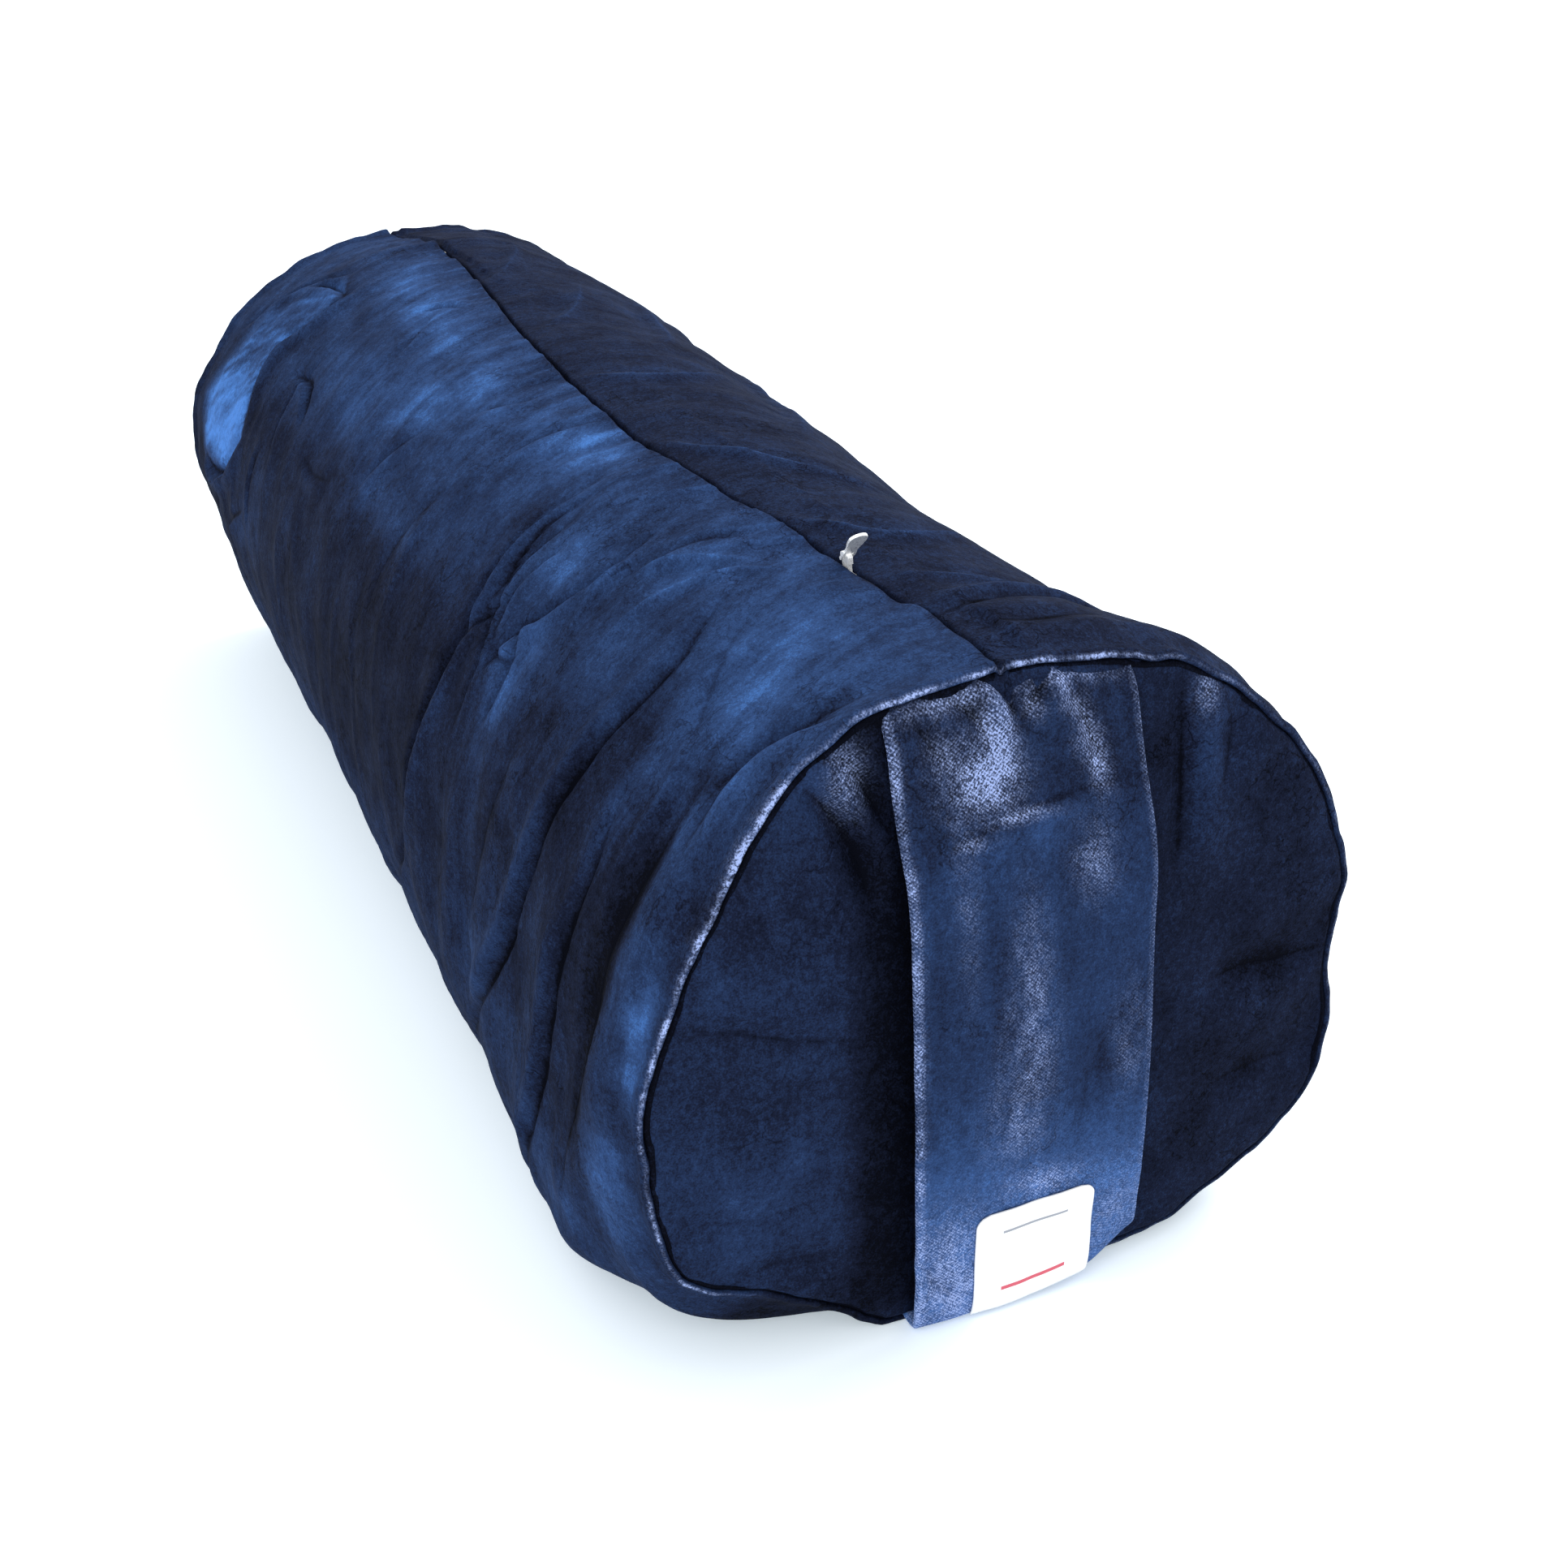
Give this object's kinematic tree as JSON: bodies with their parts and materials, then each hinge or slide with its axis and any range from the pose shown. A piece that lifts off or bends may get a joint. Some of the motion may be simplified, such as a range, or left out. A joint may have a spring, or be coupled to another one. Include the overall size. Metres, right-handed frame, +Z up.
{
  "type": "bolster pillow",
  "caption": "Round velvet bolster for yoga and massage, with a flattened underside, a zipped cover over a filled inner bag, and a carrying strap across one end.",
  "frame": {"origin": "on the flat underside of the cover, at the middle of its length and width", "axes": "+X along the length towards the end with the carrying strap, +Z up, +Y to the left when looking along +X"},
  "size_m": [0.6665, 0.2358, 0.2203],
  "materials": {
    "velvet": "navy blue cotton velvet with a short crushed pile and a satin sheen",
    "label": "white woven label, matt",
    "zip_tape": "navy woven polyester tape",
    "zip_coil": "navy nylon coil",
    "zip_metal": "bright nickel, smooth",
    "liner": "unbleached cotton, plain weave",
    "liner_zip_tape": "natural woven polyester tape",
    "liner_zip_coil": "natural nylon coil",
    "filling": "loose spelt husks, matt"
  },
  "bodies": {
    "cushion": {"cover_body": "velvet", "cover_end_handle": "velvet", "cover_end_far": "velvet", "handle_strap": "velvet", "handle_label": "label", "zip_tape_left": "zip_tape", "zip_tape_right": "zip_tape", "zip_coil_left": "zip_coil", "zip_coil_right": "zip_coil", "zip_top_stop_left": "zip_metal", "zip_top_stop_right": "zip_metal", "zip_bottom_stop": "zip_metal", "liner_zip_tape_left": "liner_zip_tape", "liner_zip_tape_right": "liner_zip_tape", "liner_zip_coil_left": "liner_zip_coil", "liner_zip_coil_right": "liner_zip_coil", "liner_zip_top_stop_left": "zip_metal", "liner_zip_top_stop_right": "zip_metal", "liner_zip_bottom_stop": "zip_metal", "liner_body": "liner", "liner_end_handle": "liner", "liner_end_far": "liner", "filling": "filling"},
    "slider": {"zip_slider": "zip_metal"},
    "pull": {"zip_pull": "zip_metal"},
    "liner_slider": {"liner_zip_slider": "zip_metal"},
    "liner_pull": {"liner_zip_pull": "zip_metal"}
  },
  "joints": [
    {"name": "zip_slide", "type": "slide", "parent": "cushion", "child": "slider", "axis": [-0.9997, 0.0236, 0.0017], "range_m": [0, 0.4661]},
    {"name": "pull_hinge", "type": "hinge", "parent": "slider", "child": "pull", "pos_m": [0.24, -0.01415, 0.20926], "axis": [0.0237, 0.9971, 0.0721], "range_deg": [-138, 42]},
    {"name": "liner_zip_slide", "type": "slide", "parent": "cushion", "child": "liner_slider", "axis": [0, 0, -1], "range_m": [0, 0.125]},
    {"name": "liner_pull_hinge", "type": "hinge", "parent": "liner_slider", "child": "liner_pull", "pos_m": [-0.3171, 0, 0.17], "axis": [0, 1, 0], "range_deg": [0, 14]}
  ]
}
